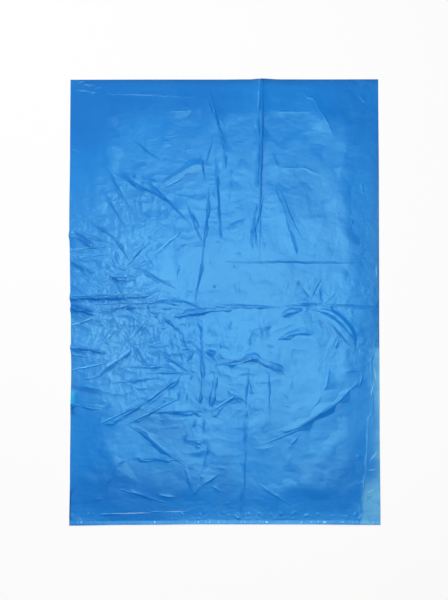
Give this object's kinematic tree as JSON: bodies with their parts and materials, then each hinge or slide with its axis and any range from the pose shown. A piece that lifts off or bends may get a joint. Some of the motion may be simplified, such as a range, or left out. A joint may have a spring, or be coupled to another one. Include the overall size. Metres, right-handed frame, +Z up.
{
  "type": "flat plastic bag",
  "caption": "Flat plastic bag of thin glossy film, a tube laid flat, welded shut near the foot and open at the mouth, creased from having been folded.",
  "frame": {"origin": "middle of the bag's flat box, on the surface that the back ply lies on", "axes": "+X across the width, +Y along the length from the weld to the open mouth, +Z up, out of the front ply"},
  "size_m": [0.5035, 0.7223, 0.0037],
  "materials": {
    "film": "glossy blown polyethylene film, blue, slightly see-through"
  },
  "bodies": {
    "root": {"film_bag": "film"}
  },
  "joints": []
}
